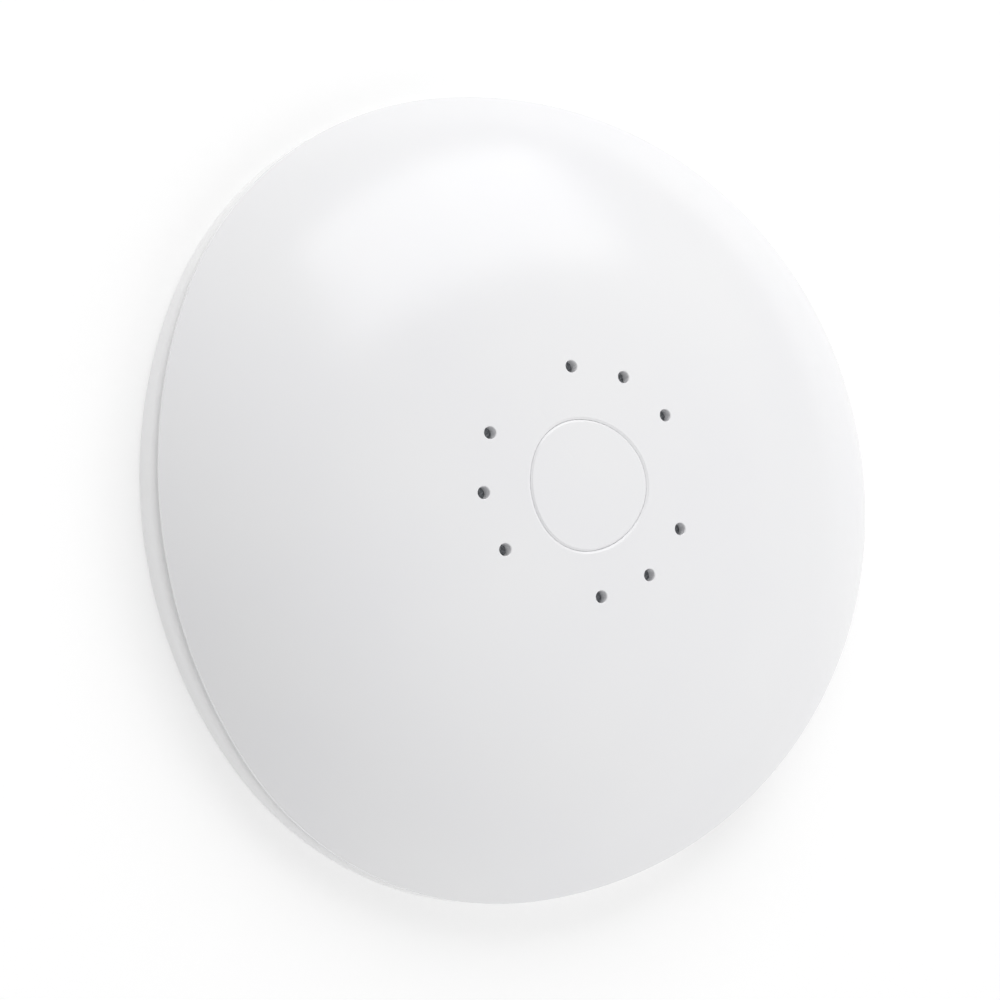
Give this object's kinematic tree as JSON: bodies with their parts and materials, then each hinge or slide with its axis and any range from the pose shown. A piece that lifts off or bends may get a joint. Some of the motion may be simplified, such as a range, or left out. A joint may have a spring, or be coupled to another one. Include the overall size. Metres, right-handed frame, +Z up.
{
  "type": "infrared air conditioner controller",
  "caption": "Domed rounded-triangle disc for a wall, with ring vents, a centre press key and a twist-off steel wall plate; sends infrared to an air conditioner.",
  "frame": {"origin": "centre of the wall plate's back face, on the wall", "axes": "+Y into the wall, -Y out of the dome, +Z up with one corner of the outline at the top, +X to the viewer's right"},
  "size_m": [0.1, 0.0224, 0.1],
  "materials": {
    "white_plastic": "satin moulded white",
    "white_plastic_rear": "satin moulded white",
    "white_plastic_button": "satin moulded white",
    "grey_plastic": "moulded grey",
    "zinc_steel": "zinc plated",
    "circuit_board": "green solder mask",
    "module_board": "black solder mask",
    "tinned_steel": "tinned",
    "gold_plate": "gold plated",
    "chip_epoxy": "moulded black",
    "ferrite": "pressed ferrite",
    "capacitor_can": "drawn",
    "chip_ceramic": "fired ceramic",
    "lamp_epoxy": "tinted clear epoxy",
    "tinned_wire": "tinned",
    "grey_foam": "closed-cell foam",
    "nylon_mesh": "woven",
    "lamp_ceramic": "white with a yellow gel",
    "clear_acrylic": "moulded clear",
    "black_plastic": "moulded black",
    "switch_plunger": "moulded white",
    "screw_steel": "zinc plated",
    "label_film": "blank film"
  },
  "bodies": {
    "wall_mount": {"wall_plate": "zinc_steel"},
    "device": {"front_cover": "white_plastic", "rear_housing": "white_plastic_rear", "main_board": "circuit_board", "wifi_module_board": "module_board", "wifi_shield_can": "tinned_steel", "wifi_antenna": "gold_plate", "processor": "chip_epoxy", "memory_chip": "chip_epoxy", "voltage_regulator": "chip_epoxy", "power_inductor": "ferrite", "supply_capacitors": "capacitor_can", "small_components": "chip_ceramic", "ir_emitters": "lamp_epoxy", "ir_emitter_leads": "tinned_wire", "ir_receiver": "chip_epoxy", "climate_sensor": "chip_epoxy", "sensor_duct": "grey_foam", "dust_mesh": "nylon_mesh", "status_lamps": "lamp_ceramic", "light_guide": "clear_acrylic", "buzzer": "black_plastic", "centre_switch_body": "black_plastic", "reset_switch_body": "black_plastic", "usb_socket_shell": "tinned_steel", "usb_socket_tongue": "black_plastic", "usb_contacts": "gold_plate", "board_screws": "screw_steel", "cover_screws": "screw_steel", "rating_label": "label_film"},
    "centre_key": {"centre_button": "white_plastic_button", "centre_switch_plunger": "switch_plunger"},
    "reset_key": {"reset_button": "grey_plastic", "reset_switch_plunger": "switch_plunger"}
  },
  "joints": [
    {"name": "twist_off", "type": "hinge", "parent": "wall_mount", "child": "device", "pos_m": [0, 0, 0], "axis": [0, -1, 0], "range_deg": [0, 25]},
    {"name": "centre_press", "type": "slide", "parent": "device", "child": "centre_key", "axis": [0, 1, 0], "range_m": [0, 0.0005], "stiffness_N_per_m": 800},
    {"name": "reset_press", "type": "slide", "parent": "device", "child": "reset_key", "axis": [0, -1, 0], "range_m": [0, 0.00025], "stiffness_N_per_m": 800}
  ]
}
